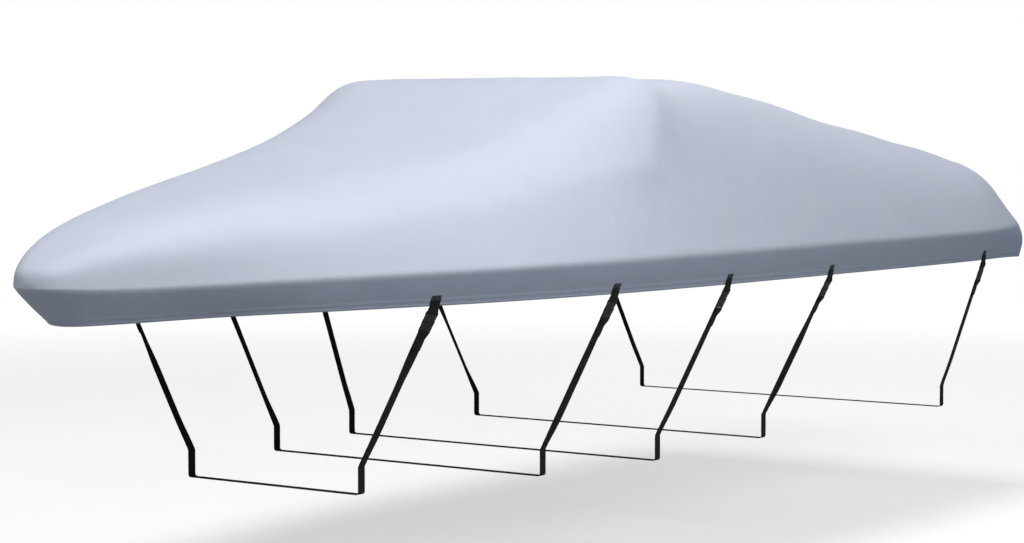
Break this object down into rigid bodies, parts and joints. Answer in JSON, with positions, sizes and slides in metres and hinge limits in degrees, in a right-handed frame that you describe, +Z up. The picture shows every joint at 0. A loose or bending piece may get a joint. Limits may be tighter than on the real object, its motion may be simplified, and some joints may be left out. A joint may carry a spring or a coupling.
{
  "type": "boat cover",
  "caption": "Fitted trailering cover for a small runabout: a hollow tailored cloth shell with a tucked-in hem, held down by belly straps with side-release buckles.",
  "frame": {"origin": "the point under the middle of the windscreen top, on the underside of the cloth, where the covered boat carries the cover", "axes": "+X aft from bow to stern, +Y to starboard, +Z up; the centre plane of the boat is y = 0"},
  "size_m": [5.4167, 2.1758, 1.4893],
  "materials": {
    "cover_cloth": "light grey coated polyester, fine plain weave, soft sheen",
    "webbing": "black woven polypropylene webbing, matte",
    "buckle": "black moulded acetal, satin"
  },
  "bodies": {
    "root": {"cover_cloth": "cover_cloth", "belly_strap_1": "webbing", "belly_strap_2": "webbing", "belly_strap_3": "webbing", "belly_strap_4": "webbing", "belly_strap_5": "webbing", "hem_tab_port_1": "webbing", "buckle_socket_port_1": "buckle", "buckle_plug_port_1": "buckle", "hem_tab_port_2": "webbing", "buckle_socket_port_2": "buckle", "buckle_plug_port_2": "buckle", "hem_tab_port_3": "webbing", "buckle_socket_port_3": "buckle", "buckle_plug_port_3": "buckle", "hem_tab_port_4": "webbing", "buckle_socket_port_4": "buckle", "buckle_plug_port_4": "buckle", "hem_tab_port_5": "webbing", "buckle_socket_port_5": "buckle", "buckle_plug_port_5": "buckle", "hem_tab_starboard_1": "webbing", "buckle_socket_starboard_1": "buckle", "buckle_plug_starboard_1": "buckle", "hem_tab_starboard_2": "webbing", "buckle_socket_starboard_2": "buckle", "buckle_plug_starboard_2": "buckle", "hem_tab_starboard_3": "webbing", "buckle_socket_starboard_3": "buckle", "buckle_plug_starboard_3": "buckle", "hem_tab_starboard_4": "webbing", "buckle_socket_starboard_4": "buckle", "buckle_plug_starboard_4": "buckle", "hem_tab_starboard_5": "webbing", "buckle_socket_starboard_5": "buckle", "buckle_plug_starboard_5": "buckle"}
  },
  "joints": []
}
